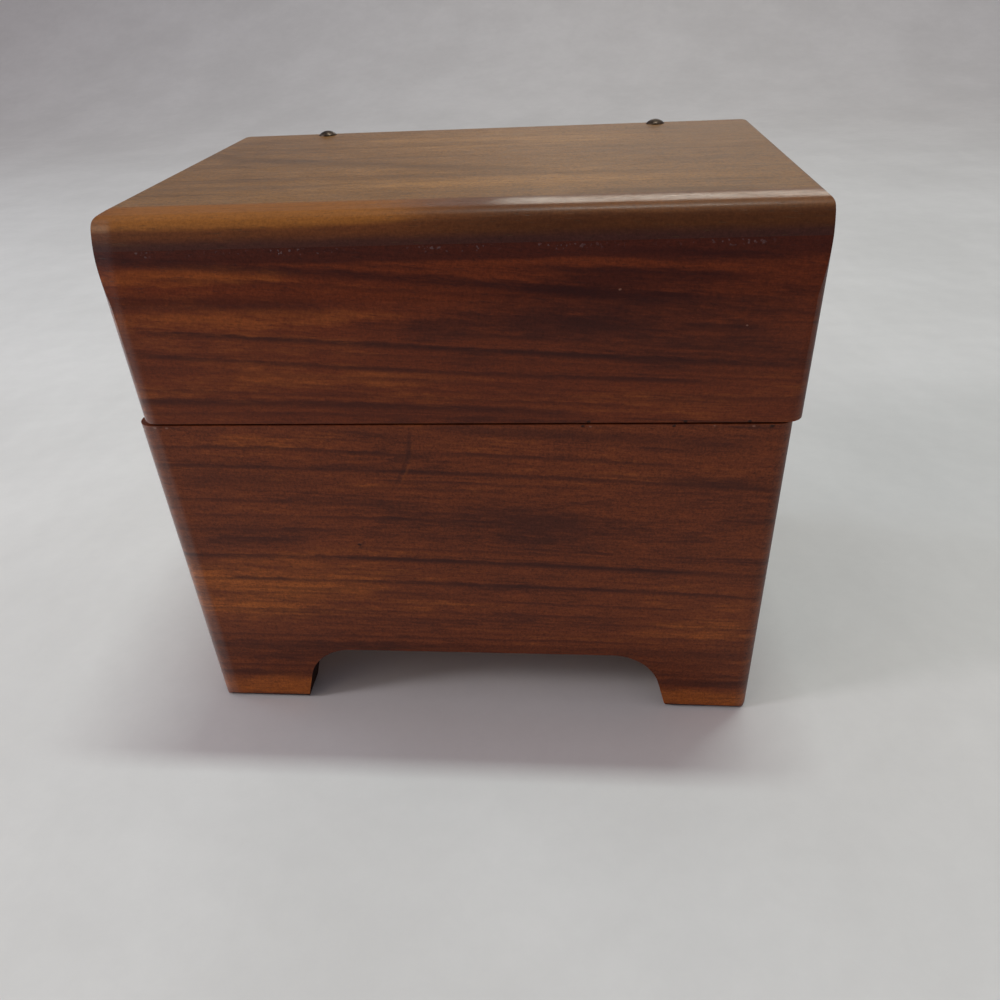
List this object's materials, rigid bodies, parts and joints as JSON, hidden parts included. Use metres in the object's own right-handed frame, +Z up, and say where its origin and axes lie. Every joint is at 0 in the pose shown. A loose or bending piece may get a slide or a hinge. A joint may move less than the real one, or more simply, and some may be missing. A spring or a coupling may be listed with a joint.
{
  "type": "recipe card box",
  "caption": "Upright wooden recipe card box on bracket feet, with a rounded-front lid on back hinges and an open compartment for standing index cards.",
  "frame": {"origin": "on the floor under the middle of the whole box, hinge barrels included", "axes": "+X to the right seen from the front, -Y out of the front face, +Z up"},
  "size_m": [0.1542, 0.1084, 0.1386],
  "materials": {
    "wood": "reddish brown straight-grained wood under satin varnish, worn at the edges",
    "panel_wood": "plain unvarnished panel, slightly paler",
    "hinge_brass": "aged brass, dulled and a little darker in the corners",
    "dark_pin": "dark bronzed round heads with a soft shine"
  },
  "bodies": {
    "base": {"base_front": "wood", "base_back": "wood", "base_left": "wood", "base_right": "wood", "bottom_panel": "panel_wood", "hinge_base_leaf_left": "hinge_brass", "hinge_base_leaf_right": "hinge_brass", "hinge_pin_left": "hinge_brass", "hinge_pin_right": "hinge_brass", "base_hinge_screws": "hinge_brass"},
    "lid": {"lid_front": "wood", "lid_back": "wood", "lid_left": "wood", "lid_right": "wood", "lid_top": "wood", "hinge_lid_leaf_left": "hinge_brass", "hinge_lid_leaf_right": "hinge_brass", "lid_hinge_screws": "hinge_brass", "lid_pins": "dark_pin"}
  },
  "joints": [
    {"name": "lid_hinge", "type": "hinge", "parent": "base", "child": "lid", "pos_m": [-0.0009, 0.05195, 0.0908], "axis": [-1, 0, 0], "range_deg": [0, 180]}
  ]
}
